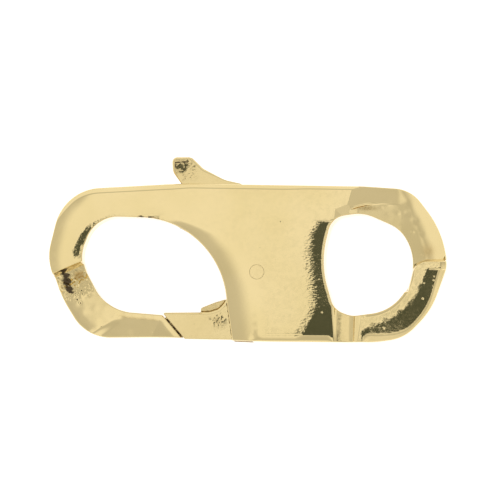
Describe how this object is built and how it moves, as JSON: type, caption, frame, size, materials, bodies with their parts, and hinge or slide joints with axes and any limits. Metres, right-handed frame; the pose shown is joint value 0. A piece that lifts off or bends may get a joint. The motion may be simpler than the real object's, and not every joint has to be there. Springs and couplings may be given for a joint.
{
  "type": "lobster clasp",
  "caption": "Flat link-pattern lobster clasp: slotted casting with hook and chain eye, sprung trigger on a flush pin.",
  "frame": {"origin": "middle of the clasp's length and width, on the flat back face it rests on", "axes": "+X along the clasp from the hook to the chain eye, +Y toward the thumb tab, +Z out of the front face"},
  "size_m": [0.0251, 0.0116, 0.0032],
  "materials": {
    "gold_casting": "polished pale yellow gold alloy",
    "gold_trigger": "polished pale yellow gold alloy",
    "gold_pin": "polished flush with the cheeks",
    "spring_steel": "drawn spring wire"
  },
  "bodies": {
    "casting": {"body": "gold_casting", "pivot_pin": "gold_pin", "spring": "spring_steel"},
    "trigger": {"trigger": "gold_trigger"}
  },
  "joints": [
    {"name": "trigger_turn", "type": "hinge", "parent": "casting", "child": "trigger", "pos_m": [0.00057, -0.00052, 0.0016], "axis": [0, 0, -1], "range_deg": [0, 25], "stiffness_Nm_per_rad": 0.018, "springref_deg": -20.05, "deforming": ["spring"]}
  ]
}
